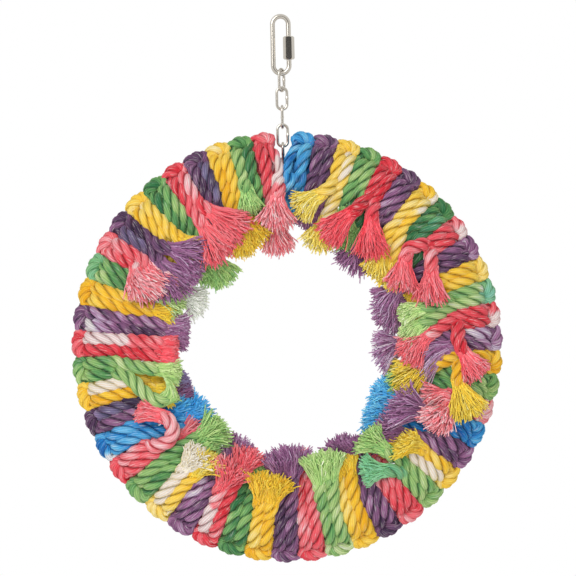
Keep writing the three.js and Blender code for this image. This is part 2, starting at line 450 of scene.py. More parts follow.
COTTON = {
    Dye.BLUE: CottonFinish(
        *((22, 90, 170), (48, 148, 216), (106, 194, 238), (170, 222, 246), (114, 206, 240)),
        flecks=0.45,
        loose_painted_light_gain=1.2,
    ),
    Dye.PURPLE: CottonFinish(
        *((58, 45, 70), (109, 78, 111), (170, 114, 157), (208, 188, 214), (150, 156, 198)),
    ),
    Dye.YELLOW: CottonFinish(
        *((240, 180, 34), (251, 209, 64), (251, 224, 112), (249, 237, 174), (228, 214, 104)),
        flecks=0.25,
        loose_painted_light_gain=1.07,
        loose_tone=-0.24,
        sheen=1.0,
    ),
    Dye.GREEN: CottonFinish(
        *((52, 120, 78), (121, 179, 107), (178, 210, 132), (214, 230, 168), (108, 198, 170)),
        flecks=0.32,
        loose_painted_light_gain=1.12,
    ),
    Dye.RED: CottonFinish(
        *((214, 40, 56), (240, 84, 96), (247, 134, 142), (251, 200, 205), (242, 104, 124)),
        flecks=0.58,
        loose_painted_light_gain=1.08,
        loose_tone=-0.07,
    ),
}


@dataclass(frozen=True)
class SteelFinish:
    """Bright plated steel with faint drawing marks."""

    name: str
    colour: tuple[int, int, int]
    roughness: float

    def material(self) -> Material:
        """Builds the material."""
        made, graph = Graph.material(self.name)
        place = graph.add("ShaderNodeTexCoord").outputs["Object"]
        marks = graph.add("ShaderNodeTexNoise", Vector=place, Scale=900.0, Detail=3.0).outputs[0]
        bump = graph.add("ShaderNodeBump", Strength=0.03, Distance=0.0001, Height=marks)
        shader = graph.add(
            "ShaderNodeBsdfPrincipled",
            Base_Color=linear(self.colour),
            Metallic=1.0,
            Roughness=self.roughness,
            Normal=bump.outputs[0],
        )
        graph.add("ShaderNodeOutputMaterial", Surface=shader.outputs[0])
        return made


NICKEL = SteelFinish("nickel_steel", (196, 190, 180), 0.16)
DRAWN = SteelFinish("hoop_steel", (186, 184, 180), 0.35)


@dataclass
class QuickLink:
    """The quick link: an oval of round wire, open at the gate, and its hexagonal sleeve nut."""

    wire_thickness: float = 3.5
    length: float = 44.0
    width: float = 14.7
    gate_bottom: float = -24.5
    gate_opening: float = 7.5
    thread_length: float = 4.45
    thread_pitch: float = 0.6
    thread_depth: float = 0.22
    thread_fade: float = 0.6
    end_round: float = 0.5
    end_least: float = 0.0004
    step: float = 0.12
    sides: int = 28

    def build(self, steel: Material) -> list[Piece]:
        """Makes the bent wire and dresses the nut.

        Args:
            steel: the plated steel.

        Returns:
            The new pieces.
        """
        bow = (self.width - self.wire_thickness) / 2
        top = self.wire_thickness / 2 - bow
        bottom = self.wire_thickness * 1.5 - self.length + bow
        gate_top = self.gate_bottom + self.gate_opening
        legs = [top - gate_top, math.pi * bow, top - bottom, math.pi * bow, self.gate_bottom - bottom]
        edges = np.cumsum([0.0] + legs)
        run = np.arange(0.0, edges[-1], self.step)
        first = np.clip(run, 0, edges[1])
        bend = (np.clip(run, edges[1], edges[2]) - edges[1]) / bow
        down = np.clip(run, edges[2], edges[3]) - edges[2]
        lower = (np.clip(run, edges[3], edges[4]) - edges[3]) / bow
        last = np.clip(run, edges[4], edges[5]) - edges[4]
        turn = bend + lower
        x = bow * np.cos(turn)
        rise = np.where(run < edges[2], bow * np.sin(bend), -bow * np.sin(lower))
        z = np.where(run < edges[2], gate_top + first + rise, top - down + rise + last)
        path = np.stack([x, np.zeros_like(x), z], axis=1)
        outward = np.stack([np.cos(turn), np.zeros_like(x), np.sin(turn)], axis=1)
        side = np.arange(self.sides) / self.sides
        threaded = np.minimum(run, edges[-1] - run)[:, None]
        tooth = np.abs(((run[:, None] / self.thread_pitch + side) % 1.0) * 2.0 - 1.0)
        plain = ease((threaded - self.thread_length) / self.thread_fade + 1.0)
        radius = self.wire_thickness / 2 - self.thread_depth * tooth * (1.0 - plain)
        radius = radius * np.sqrt(np.clip(threaded / self.end_round + self.end_least, 0.0, 1.0))
        surface = wire(path, outward, radius, self.sides, closed=False)
        body = surface.piece("quick_link_wire", steel)
        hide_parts("quick_link_body")
        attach(body, "quick_link")
        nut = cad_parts["quick_link_nut"]
        nut.data.materials.clear()
        nut.data.materials.append(steel)
        return [body]


@dataclass
class Chain:
    """Welded oval links, each hung on the bar above it and turned across it."""

    links: int = 5
    wire_thickness: float = 2.0
    inside: float = 13.4
    width: float = 9.2
    first_top: float = -35.7
    drop: float = 13.1
    first_turn: float = 28.0
    weld_height: float = 0.2
    weld_length: float = 0.9
    steps: int = 160
    sides: int = 18

    def link(self, turned: float, height: float) -> Surface:
        """One link: a stadium of round wire with a slight weld on one leg.

        Args:
            turned: degrees about the vertical from the front plane.
            height: the centre of its top bar.

        Returns:
            The link's surface.
        """
        bow = (self.width - self.wire_thickness) / 2
        straight = self.inside + self.wire_thickness - 2 * bow
        around = 2 * straight + FULL_TURN * bow
        run = np.arange(self.steps) / self.steps * around
        quarter = math.pi * bow / 2
        half = np.where(run < around / 2, run, around - run)
        angle = (np.clip(half, 0, quarter) + np.maximum(0, half - quarter - straight)) / bow
        fall = np.clip(half - quarter, 0, straight)
        side = np.where(run < around / 2, 1.0, -1.0)
        flat = np.stack([side * np.sin(angle), np.cos(angle)], axis=1)
        x = bow * flat[:, 0]
        z = height + bow * (flat[:, 1] - 1.0) - fall
        turn = math.radians(turned)
        spin = np.array([math.cos(turn), math.sin(turn), 0.0])
        up = np.array([0.0, 0.0, 1.0])
        path = x[:, None] * spin + z[:, None] * up
        outward = flat[:, :1] * spin + flat[:, 1:] * up
        from_weld = run - (quarter + straight / 2)
        weld = self.weld_height * np.exp(-((from_weld / self.weld_length) ** 2))
        return wire(path, outward, self.wire_thickness / 2 + weld, self.sides, closed=True)

    def build(self, steel: Material) -> list[Piece]:
        """Makes every link, riding on its own body.

        Args:
            steel: the plated steel.

        Returns:
            The new pieces.
        """
        made = []
        for i in range(self.links):
            turned = (0.0 if i % 2 else 90.0) - (self.first_turn if i == 0 else 0.0)
            surface = self.link(turned, self.first_top - i * self.drop)
            piece = surface.piece(f"welded_link_{i + 1}", steel)
            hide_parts(f"chain_link_{i + 1}")
            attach(piece, f"chain_{i + 1}")
            made.append(piece)
        return made


@dataclass
class Ring:
    """The hoop and the places of the ropes round it."""

    centre: float = -232.2
    radius: float = 132.0
    wire_thickness: float = 4.0
    ropes: int = 51
    slot_half_width: float = 5.2
    slot_radius: float = 139.8
    crowding: float = 5.2
    closest_place: float = 35.0
    steps: int = 240
    sides: int = 16

    def starts(self) -> Array:
        """Angles at which the ropes begin and the last one ends, clockwise from the chain.

        They are even shares of the hoop less the slot, pushed towards the closest place by the
        crowding angle times the sine of the way round from there.
        """
        slot = 2 * math.asin(self.slot_half_width / self.slot_radius)
        share = np.arange(self.ropes + 1) / self.ropes
        closest = math.radians(self.closest_place)
        pushed = np.sin(FULL_TURN * share - closest) + math.sin(closest)
        return slot / 2 + share * (FULL_TURN - slot) - math.radians(self.crowding) * pushed

    def world(self, local: Array, angle: float) -> Array:
        """Turns (radius, front, side) at a rope's angle into X, Y, Z."""
        out, front, side = local[..., 0], local[..., 1], local[..., 2]
        x = out * math.sin(angle) + side * math.cos(angle)
        z = self.centre + out * math.cos(angle) - side * math.sin(angle)
        return np.stack([x, -front, z], axis=-1)

    def direction(self, local: Array, angle: float) -> Array:
        """Turns a direction in (radius, front, side) into X, Y, Z."""
        return self.world(local, angle) - self.world(np.zeros(3), angle)

    def build(self, steel: Material) -> list[Piece]:
        """Makes the hoop of round wire.

        Args:
            steel: the drawn wire's steel.

        Returns:
            The new piece.
        """
        turn = np.linspace(0.0, FULL_TURN, self.steps, endpoint=False)
        outward = np.stack([np.sin(turn), np.zeros_like(turn), np.cos(turn)], axis=1)
        path = self.radius * outward + np.array([0.0, 0.0, self.centre])
        radius = np.full(len(turn), self.wire_thickness / 2)
        surface = wire(path, outward, radius, self.sides, closed=True)
        piece = surface.piece("hoop_wire", steel)
        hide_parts("hoop")
        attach(piece, "ring")
        return [piece]


class Level(Enum):
    """How far in front of the hoop a rope's end lies, in millimetres."""

    FRONT = 25.0
    MIDDLE = 17.0
    BACK = 8.5


@dataclass(frozen=True)
class End:
    """One end of a rope: where its tips lie, and how it frays.

    Reach is the radius of the tips, lean their angle in degrees clockwise from the rope's middle,
    fray the length of the loose yarns, flare how widely they spread for their length, hook the
    degrees by which they bend aside, and shift moves the end sideways where it leaves its knot.
    A curling end passes through the places in via, each a radius and a lean.
    """

    reach: float
    lean: float
    level: Level
    fray: float = 15.0
    flare: float = 0.42
    hook: float = 0.0
    shift: float = 0.0
    via: tuple[tuple[float, float], ...] = ()


NOWHERE = (2.0, 2.0)


@dataclass(frozen=True)
class Tie:
    """One rope: its two ends, its tone from deep to pale, and undyed and second-hue stretches.

    A stretch is given along the rope, from -1 at the counter-clockwise tips over -0.5 where that
    end leaves the knot, 0 at the bight and 0.5 at the other end's way out, to 1 at its tips. One
    that lies beyond the tips is not there.
    """

    left: End
    right: End
    tone: float = 0.36
    undyed: tuple[float, float] = NOWHERE
    accent: tuple[float, float] = NOWHERE


F, M, B = Level.FRONT, Level.MIDDLE, Level.BACK

# Clockwise from the chain.
TIES = (
    Tie(End(92, -0.5, B, shift=-5.0), End(92, 4.0, B, shift=-2.6), 0.40, accent=(0.45, 1.0)),
    Tie(End(88, -2.1, B), End(86, 2.9, B), 0.42),
    Tie(End(97, -13.0, F, 20, 0.5), End(74, -2.3, M, 20, 0.45), 0.62),
    Tie(End(92, 2.0, M, 16), End(80, 8.3, B, 20, 0.5, via=((113, 4.5), (102, 7.5))), 0.34),
    Tie(End(83, -11.0, F, 26, 0.4), End(89, 11.5, F, 25, 0.4), 0.30),
    Tie(End(72, 2.0, B, 24, 0.6), End(86, 10.5, B, 22, 0.6), 0.36),
    Tie(End(80, 7.0, M, 18, 0.5), End(85, 17.0, M, 18, 0.5), 0.56, undyed=(0.06, 0.3)),
    Tie(End(89, 11.7, B), End(91, 15.0, B, via=((114, 6.0), (104, 10.5))), 0.28, accent=(0.45, 0.8)),
    Tie(
        End(87, 4.0, F, 20, 0.5, via=((119, -4.0), (108, -4.5), (101, 0.0))),
        End(102, 16.0, F, 22, 0.5, via=((121, 2.0), (113, 9.0))),
        0.46,
        undyed=(0.03, 0.3),
    ),
    Tie(End(71, 4.5, B, 22, 0.6), End(68, 13.5, B, 22, 0.65), 0.50),
    Tie(End(93, 2.6, M), End(90, 10.3, M), 0.42),
    Tie(End(83, -1.5, F, 16, 0.3), End(82, 10.6, F, 16, 0.3), 0.58, accent=(-0.25, 0.5)),
    Tie(
        End(82, 12.6, F, 24, 0.5),
        End(138, 15.5, F, 20, 0.45, via=((122, 3.0), (118, 7.0), (125, 12.0))),
        0.46,
        undyed=(0.02, 0.3),
    ),
    Tie(End(62, 4.4, B, 24, 0.65), End(92, 9.0, M, 28, 0.6), 0.56),
    Tie(
        End(81, 13.0, M, 28, 0.55),
        End(138, 14.5, F, 24, 0.62, via=((121, 3.0), (120, 7.0), (127, 10.5))),
        0.48,
    ),
    Tie(End(86, 9.0, B, 22, 0.6), End(74, 7.5, B, 20, 0.6), 0.40),
    Tie(End(101, -0.5, M, 20, 0.6), End(118, 8.3, F, 22, 0.6, 30), 0.60),
    Tie(End(67, 2.0, B, 20, 0.6), End(71, 13.5, B, 22, 0.65, via=((113, 5.0), (102, 8.0))), 0.40),
    Tie(End(86, 1.5, F, 30, 0.6, via=((119, -3.5), (107, -8.0))), End(84, 12.0, M, 24, 0.6), 0.44),
    Tie(End(101, -1.6, F, 20, 0.5, -20), End(96, 6.4, M), 0.46, undyed=(0.5, 0.85)),
    Tie(End(80, 2.6, F, 22, 0.5), End(101, 13.1, F, 18, 0.55, 30), 0.42, accent=(0.8, 1.0)),
    Tie(End(88, -1.0, B), End(82, 5.0, B), 0.44),
    Tie(End(78, -4.4, B, 18, 0.5), End(72, -0.5, B, 20, 0.6), 0.36),
    Tie(End(86, -6.6, M, 12), End(87, -2.4, M, 12), 0.36),
    Tie(End(77, -7.5, F, 25, 0.36), End(76, -1.5, F, 27, 0.4), 0.50),
    Tie(End(77, -1.7, B), End(72, 3.3, B), 0.48),
    Tie(End(68, -4.5, M, 28, 0.55), End(72, 4.0, M, 26, 0.55), 0.42),
    Tie(End(89, -4.5, F, 25, 0.42), End(88, 1.5, F, 25, 0.42), 0.30),
    Tie(End(84, -3.2, B), End(88, 3.0, B), 0.30),
    Tie(End(74, -4.0, M, 24, 0.5), End(86, 1.5, F, 26, 0.6, -20), 0.44, undyed=(0.5, 0.72)),
    Tie(End(70, -3.0, B, 22, 0.6), End(84, 1.5, B), 0.46),
    Tie(End(90, -2.4, F, 24, 0.42), End(91, 2.0, F, 24, 0.42), 0.56, undyed=(0.5, 1.0)),
    Tie(End(84, -9.5, M, 22, 0.5), End(69, -6.5, M, 24, 0.6), 0.38),
    Tie(
        End(80, -5.5, B, 22, 0.6),
        End(112, 13.5, F, 18, 0.22, via=((119, -2.4), (103, -2.0), (95, 2.5), (99, 8.0))),
        0.46,
    ),
    Tie(
        End(69, -5.5, B, 22, 0.6, via=((112, -4.8), (98, -6.8))),
        End(76, -0.8, B, 18, 0.55),
        0.30,
        undyed=(-0.22, -0.06),
    ),
    Tie(End(74, -3.0, B), End(74, 6.5, B), 0.34, accent=(0.5, 1.0)),
    Tie(End(85, -8.1, M), End(86, -0.8, B), 0.40, undyed=(0.48, 0.8)),
    Tie(
        End(
            *(88, -10.5, F, 14, 0.6, -110),
            via=((121, -2.4), (112, -5.0), (106, -10.6), (99, -17.0), (86, -17.5)),
        ),
        End(77, -4.9, F, 16, 0.35, via=((112, -0.2), (96, -2.6))),
        0.52,
    ),
    Tie(End(78, -6.5, F, 11, 0.25), End(77, 0.3, F, 11, 0.25), 0.36, undyed=(0.5, 0.76)),
    Tie(End(71, -1.8, M, 16, 0.36), End(72, 5.6, M, 16, 0.36), 0.48),
    Tie(End(83, -0.8, M), End(82, 4.5, B), 0.36),
    Tie(
        End(80, 1.0, M, 20, 0.55),
        End(66, 5.5, B, 20, 0.55),
        0.52,
        undyed=(0.86, 1.0),
        accent=(-0.2, 0.3),
    ),
    Tie(End(110, -13.2, F, 26, 0.5, -35), End(95, -5.2, F, 24, 0.45, -30), 0.60),
    Tie(End(84, -9.3, F, 30, 0.55, -15), End(85, 10.5, F, 28, 0.55), 0.42, accent=(-0.75, -0.4)),
    Tie(End(84, -7.0, B, 20, 0.5, via=((112, -3.5), (101, -7.0))), End(92, 4.3, M), 0.36),
    Tie(End(73, -6.5, B, 18, 0.5), End(64, -3.1, B, 20, 0.55), 0.36),
    Tie(End(79, -1.5, F, 28, 0.45), End(88, 12.5, F, 30, 0.5), 0.44),
    Tie(End(87, -4.3, B), End(86, 0.8, B), 0.32, accent=(0.55, 0.9)),
    Tie(End(73, -3.5, M, 20, 0.5), End(78, 3.0, M, 20, 0.5), 0.34),
    Tie(End(99, -4.4, M, 15, 0.5), End(84, 2.5, B), 0.40),
    Tie(
        End(69, 2.5, B, 20, 0.55, shift=2.6),
        End(86, 1.0, F, 22, 0.6, shift=5.0),
        0.58,
        undyed=(0.66, 0.84),
    ),
)


DYE_SET = 17


def dye_of(place: int) -> Dye:
    """The dye of a rope: one blue, then four runs of purple, yellow, green and red, over again."""
    step = place % DYE_SET
    return Dye.BLUE if step == 0 else (Dye.PURPLE, Dye.YELLOW, Dye.GREEN, Dye.RED)[(step - 1) % 4]


@dataclass
class Knot:
    """The lark's head: half of it is a row of stations from the bight to where an end leaves.

    A station is an angle round the hoop's wire from straight out towards the front, a distance
    from the wire's centre, the slant of the rope's outward side, and the shares of the half width
    between which the rope lies there.
    """

    rope_radius: float = 4.75
    gap: float = 0.5
    wrap: float = 6.5
    over: float = 15.6
    crowd: float = 1.28
    forward: float = 6.0
    widest: float = 1.08
    slot_shift: float = 3.0
    slot_crowd: float = 0.94
    slot_narrow: float = 0.82

    def stations(self) -> Array:
        """Angle, distance, slant, from and to at each station."""
        wrap, over = self.wrap, self.over
        return np.array(
            [
                (20.0, over + 0.5, 16.0, 0.1, 0.8),
                (23.0, over - 0.9, 20.0, 0.46, 0.98),
                (36.0, over - 5.2, 32.0, 0.6, 1.0),
                (62.0, wrap + 0.4, 58.0, 0.6, 1.0),
                (96.0, wrap, 92.0, 0.4, 1.0),
                (140.0, wrap, 138.0, 0.04, 1.0),
                (190.0, wrap, 190.0, 0.04, 1.0),
                (242.0, wrap, 242.0, 0.0, 1.0),
                (294.0, wrap, 294.0, -0.04, 0.98),
                (350.0, wrap, 350.0, -0.06, 0.9),
                (26.0, wrap + 2.2, 32.0, -0.08, 0.94),
                (50.0, over - 3.4, 58.0, -0.08, 0.98),
                (74.0, over - 0.8, 80.0, -0.06, 1.0),
                (98.0, over + 0.8, 92.0, -0.04, 1.0),
                (124.0, over + 3.2, 94.0, -0.02, 1.0),
            ]
        )

    def half(self, ring: Ring, width: float, sign: float, shift: float) -> Arrays:
        """The half knot in (radius, front, side), from beside the bight's middle to the end.

        Args:
            ring: the hoop.
            width: the angle that the rope fills.
            sign: 1 for the clockwise half, -1 for the other.
            shift: sideways shift of the end where it leaves the knot.

        Returns:
            Points, outward directions, and half widths and half thicknesses.
        """
        angle, distance, slant, low, high = self.stations().T
        turn, lean = np.radians(angle), np.radians(slant)
        out = ring.radius + distance * np.cos(turn)
        room = out * math.tan(width / 2) - self.gap / 2
        beside_slot = abs(shift) > self.slot_shift
        crowd = self.slot_crowd if beside_slot else self.crowd
        side = sign * room * (low + high) / 2
        side[:4] *= self.slot_narrow if beside_slot else 1.0
        drift = np.zeros_like(side)
        drift[-3:] = np.array([0.55, 1.0, 1.1]) * shift
        points = np.stack([out, distance * np.sin(turn), side + drift], axis=1)
        outward = np.stack([np.cos(lean), np.sin(lean), np.zeros_like(lean)], axis=1)
        half_width = np.minimum(room * (high - low) / 2 * crowd, self.rope_radius * self.widest)
        half_width[:2] = self.rope_radius * np.array([1.0, 0.84])
        thick = np.clip(self.rope_radius**2 / np.maximum(half_width, 3.9), 4.8, 5.5)
        return points, outward, np.stack([half_width, thick], axis=1)


@dataclass
class Packing:
    """Lets the rope ends settle against each other.

    Every end is a chain of points between its knot and its planned tips. In each round, points of
    different ends that are closer than a rope's thickness push apart, then each chain is smoothed,
    brought back to its length, and kept off the wraps round the hoop.
    """

    points: int = 12
    thickness: float = 8.6
    rounds: int = 110
    deepest: float = 5.0
    nearest: float = 29.5
    lean_early: float = 0.3
    parting: float = 0.6
    smoothing: float = 0.3
    straightening: float = 0.25
    plain_hold: float = 0.02
    curl_hold: float = 0.12
    tip_hold: float = 0.06
    wrap_height: float = 11.5
    wrap_edge: float = 106.0
    wrap_fade: float = 14.0

    def planned(self, stops: Array) -> Array:
        """Spaces the chain's points evenly along one end's stops, easing its depth.

        Args:
            stops: where the end leaves its knot, the places it passes, and its tips.

        Returns:
            The chain's points.
        """
        run = lengths(stops)
        share = np.linspace(0.0, 1.0, self.points)
        chain = np.stack([np.interp(share * run[-1], run, stops[:, k]) for k in range(3)], axis=1)
        chain[:, 1] = stops[0, 1] + (stops[-1, 1] - stops[0, 1]) * ease(share * 1.25)
        return chain

    def settle(self, ring: Ring, before: Array, stops: list[Array]) -> Array:
        """Settles all ends at once.

        Args:
            ring: the hoop.
            before: a point inside each knot, which gives the way out of it.
            stops: for each end, where it leaves its knot, the places it passes, and its tips.

        Returns:
            Points along each end, from its start to its tips.
        """
        plan = np.array([self.planned(each) for each in stops])
        hold = np.array([self.curl_hold if len(each) > 3 else self.plain_hold for each in stops])
        chain = plan.copy()
        starts, tips = plan[:, 0], plan[:, -1]
        rest = np.linalg.norm(np.diff(chain, axis=1), axis=2)
        owner = np.repeat(np.arange(len(chain)), self.points)
        other = owner[:, None] != owner[None, :]
        for _ in range(self.rounds):
            flat = chain.reshape(-1, 3)
            apart = flat[:, None] - flat[None, :]
            distance = np.sqrt(np.sum(apart * apart, axis=2)) + 1e-6
            push = np.where(other & (distance < self.thickness), self.thickness - distance, 0.0)
            moved = np.sum(apart * (push / distance)[..., None], axis=1)
            count = np.maximum(np.sum(push > 0.0, axis=1), 1)[:, None]
            chain = chain + (self.parting * moved / count).reshape(chain.shape)
            middle = (chain[:, :-2] + chain[:, 2:]) / 2
            chain[:, 1:-1] += self.smoothing * (middle - chain[:, 1:-1])
            ahead = starts + unit(starts - before) * rest[:, :1]
            chain[:, 1] += self.straightening * (ahead - chain[:, 1])
            chain += hold[:, None, None] * (plan - chain)
            chain[:, -1] += self.tip_hold * (tips - chain[:, -1])
            chain[:, 0] = starts
            for link in range(self.points - 1):
                step = chain[:, link + 1] - chain[:, link]
                length = np.linalg.norm(step, axis=1, keepdims=True)
                slack = step * (1.0 - rest[:, link : link + 1] / np.maximum(length, 1e-6))
                share_first = 0.0 if link == 0 else 0.5
                chain[:, link] += share_first * slack
                chain[:, link + 1] -= (1.0 - share_first) * slack
            out = np.hypot(chain[..., 0], chain[..., 2] - ring.centre)
            low = self.deepest + self.wrap_height * ease((out - self.wrap_edge) / self.wrap_fade)
            chain[..., 1] = -np.clip(-chain[..., 1], low, self.nearest)
            chain[:, 0] = starts
        return chain


@dataclass
class Route:
    """A rope's path: centre points, outward directions and half sizes, every step along it."""

    step: float = 1.1

    def carried(self, points: Array, outward: Array, sizes: Array) -> Arrays:
        """A smooth curve through the points, by cubic pieces whose ends share their slopes.

        Args:
            points: the points to pass through.
            outward: the rope's outward direction at each point.
            sizes: half width and half thickness at each point.

        Returns:
            Length, centre, direction, outward and sideways directions, and sizes along the curve.
        """
        knots = lengths(points)
        slopes = np.gradient(points, knots, axis=0)
        length = np.linspace(0.0, knots[-1], int(knots[-1] / self.step) + 1)
        piece = np.clip(np.searchsorted(knots, length, side="right") - 1, 0, len(knots) - 2)
        span = (knots[piece + 1] - knots[piece])[:, None]
        t = (length[:, None] - knots[piece][:, None]) / span
        centre = (
            (2 * t**3 - 3 * t**2 + 1) * points[piece]
            + (t**3 - 2 * t**2 + t) * span * slopes[piece]
            + (3 * t**2 - 2 * t**3) * points[piece + 1]
            + (t**3 - t**2) * span * slopes[piece + 1]
        )
        length = lengths(centre)
        along = unit(np.gradient(centre, length, axis=0))
        normal = across((1 - t) * outward[piece] + t * outward[piece + 1], along)
        size = (1 - t) * sizes[piece] + t * sizes[piece + 1]
        return length, centre, along, normal, np.cross(along, normal), size


def wander(rng: np.random.Generator, length: Array, spacing: float) -> Array:
    """A smooth random value between about -1 and 1 along a length.

    Args:
        rng: the source of chance.
        length: places along the rope.
        spacing: distance between the random values that are joined.

    Returns:
        A value at each place.
    """
    knots = np.arange(length[0] - spacing, length[-1] + 2 * spacing, spacing)
    values = rng.uniform(-1.0, 1.0, len(knots))
    place = np.clip(np.searchsorted(knots, length, side="right") - 1, 0, len(knots) - 2)
    share = ease((length - knots[place]) / spacing)
    return (1 - share) * values[place] + share * values[place + 1]


@dataclass
class Rope:
    """One tied rope: three right-laid strands, and loose yarns at both ends."""

    ring: Ring
    knot: Knot
    strands: int = 3
    pitch: float = 26.0
    tighter: float = 0.7
    tight_share: float = 0.2
    strand_centre: float = 0.55
    strand_radius: float = 0.48
    strand_stretch: float = 1.06
    strand_taper: float = 2.5
    strand_sides: int = 14
    crease_painted_shade: float = 0.4
    yarns_per_strand: int = 78
    yarn_radius: float = 0.45
    yarn_points: int = 7
    yarn_sides: int = 3
    fray_share: float = 0.86
    droop: float = 0.12
    level: float = 30.0
    past_level: float = 7.5
    splay: float = 1.2
    crimp: float = 0.55
    flatness: float = 0.72
    wild_share: float = 0.12
    undyed_tone: float = 1.3
    rope_wave: tuple[float, float] = (0.24, 28.0)
    strand_waves: tuple[tuple[float, float], ...] = ((0.19, 14.0), (0.15, 6.0))
    strand_chance: float = 0.06
    first_seed: int = 9000

    def dye(self, tie: Tie, share: Array, wave: Array, chance: float) -> Array:
        """The dye value along a strand or yarn: tone, second hue and chance, as a colour.

        Args:
            tie: the rope's plan.
            share: place along the rope, from -1 to 1.
            wave: random change of tone at each place.
            chance: a number of the strand's own between 0 and 1.

        Returns:
            Four values at each place.
        """
        tone = tie.tone + wave
        tone = tone + (self.undyed_tone - tone) * within(share, *tie.undyed, 0.05)
        second = within(share, *tie.accent, 0.08) * np.clip(0.45 + 1.2 * wave, 0.0, 0.85)
        held = np.clip(tone, 0.0, 1.2)
        return np.stack([held, second, np.full_like(share, chance), np.ones_like(share)], axis=-1)

    def strand(self, path: Arrays, phase: float, dye: Array, u: float) -> Surface:
        """One strand: a tube round a right-hand helix on the rope's path, squeezed as the rope is.

        Args:
            path: the rope's path.
            phase: the strand's angle at the path's start.
            dye: dye value at each place.
            u: start of the yarns' map round the strand.

        Returns:
            The strand's surface.
        """
        length, centre, _, normal, beside, size, share = path
        full = self.knot.rope_radius
        tight = 1.0 + self.tighter * np.exp(-((share / self.tight_share) ** 2))
        turn = phase + FULL_TURN * np.cumsum(tight * np.gradient(length)) / self.pitch
        arm = np.cos(turn)[:, None] * normal + np.sin(turn)[:, None] * beside
        helix = centre + full * self.strand_centre * arm
        forward = unit(np.gradient(helix, axis=0))
        first = across(arm, forward)
        radius = full * self.strand_radius
        end = np.minimum(length, length[-1] - length)
        taper = np.sqrt(np.clip(end / self.strand_taper + 0.02, 0.0, 1.0))
        ring = circle(first, np.cross(forward, first), self.strand_sides, self.strand_stretch)
        offset = (helix - centre)[:, None] + ring * (radius * taper)[:, None, None]
        stretch = size / full - 1.0
        wide = np.sum(offset * beside[:, None], axis=2, keepdims=True) * stretch[:, None, :1]
        thick = np.sum(offset * normal[:, None], axis=2, keepdims=True) * stretch[:, None, 1:]
        points = centre[:, None] + offset + wide * beside[:, None] + thick * normal[:, None]
        angle = FULL_TURN * np.arange(self.strand_sides) / self.strand_sides
        flank = np.minimum(angle, FULL_TURN - angle)
        shaded = np.repeat(dye[:, None], self.strand_sides, axis=1)
        # Painted shade: the tone deepens on each strand's flanks, where the strands meet, less on undyed
        # stretches, and alpha falls there as the material's mask of painted crease shade.
        bare = ease((dye[:, :1] - 0.8) / 0.2)
        shaded[..., 0] -= self.crease_painted_shade * (1.0 - 0.7 * bare) * ease(flank - 0.9)
        shaded[..., 3] = 1.0 - 0.5 * ease((flank - 1.0) / 1.1)
        return Surface(
            points.reshape(-1, 3),
            grid_quads(len(length), self.strand_sides, closed=False),
            grid_uvs(length, self.strand_sides, False, u),
            shaded.reshape(-1, 4),
        )

    def tassel(
        self, rng: np.random.Generator, tie: Tie, end: End, start: Arrays, side: float
    ) -> Surface:
        """The loose yarns of one end: thin tubes that leave the strands and spread as they go.

        Args:
            rng: the source of chance.
            tie: the rope's plan.
            end: this end's plan.
            start: centre, forward, outward and sideways directions where the rope frays.
            side: -1 for the counter-clockwise end, 1 for the other.

        Returns:
            One surface of all the yarns.
        """
        centre, forward, outward, beside = start
        fray = self.fray_share * end.fray
        count = self.strands * self.yarns_per_strand
        u = np.append(np.linspace(0.0, 0.985, self.yarn_points - 1), 1.0)[None, :]
        reach = fray * np.clip(rng.normal(1.0, 0.06, (count, 1)), 0.75, 1.12)
        back = rng.uniform(2.0, 7.0, (count, 1))
        spoke = np.sqrt(rng.uniform(0.0, 1.0, (count, 1)))
        run = -back + (reach * (1.06 - 0.22 * spoke**2) + back) * u
        loose = np.maximum(run, 0.0)
        open_out = np.clip(run / fray, 0.0, 1.3)
        splay = self.splay * end.flare * spoke * (0.75 + 0.15 * open_out)
        twist = rng.uniform(0.0, FULL_TURN, (count, 1)) + 0.3 * open_out
        spread = self.knot.rope_radius * spoke + loose * np.sin(splay)
        wild = np.where(rng.uniform(0.0, 1.0, (count, 1, 1)) < self.wild_share, 0.18, 0.08)
        stray = rng.normal(0.0, 1.0, (count, 2, 1)) * wild * fray * open_out[:, None] ** 2
        wave = rng.uniform(0.0, FULL_TURN, (count, 2, 1))
        crimp = self.crimp * np.sin(run[:, None] * rng.uniform(0.4, 0.9, (count, 2, 1)) + wave)
        wide = spread * np.cos(twist) + stray[:, 0] + crimp[:, 0]
        deep = spread * self.flatness * np.sin(twist) + stray[:, 1] + crimp[:, 1]
        hook = math.radians(end.hook) * open_out * 0.5
        ahead = forward * np.cos(hook)[..., None] + beside * np.sin(hook)[..., None]
        gone = np.where(run > 0.0, run * np.cos(splay), run)
        path = centre + gone[..., None] * ahead + wide[..., None] * beside + deep[..., None] * outward
        path[..., 2] -= self.droop * fray * open_out**2
        path += rng.normal(0.0, 0.3, path.shape) * ease(open_out * 4.0)[..., None]
        proud = -path[..., 1] - self.level
        held = -self.level - self.past_level * np.tanh(proud / self.past_level)
        path[..., 1] = np.where(proud > 0.0, held, path[..., 1])
        along = unit(np.gradient(path, axis=1))
        first = across(np.broadcast_to(outward + 0.3 * beside, path.shape), along)
        thin = self.yarn_radius * rng.uniform(0.8, 1.15, (count, 1)) * (1.0 - 0.94 * (u > 0.999))
        ring = circle(first, np.cross(along, first), self.yarn_sides)
        points = path[:, :, None] + ring * thin[..., None, None]
        base = grid_quads(self.yarn_points, self.yarn_sides, closed=False)
        each = self.yarn_points * self.yarn_sides
        quads = (base[None] + np.arange(count)[:, None, None] * each).reshape(-1, 4)
        uvs = grid_uvs(np.linspace(0.0, 0.1, self.yarn_points), self.yarn_sides, closed=False) * 0.01
        whole = rng.integers(0, 400, (count, 1, 1)) / CottonFinish.yarn_slope
        uvs = (uvs[None] + whole * np.array([0.0, 1.0])).reshape(-1, 2)
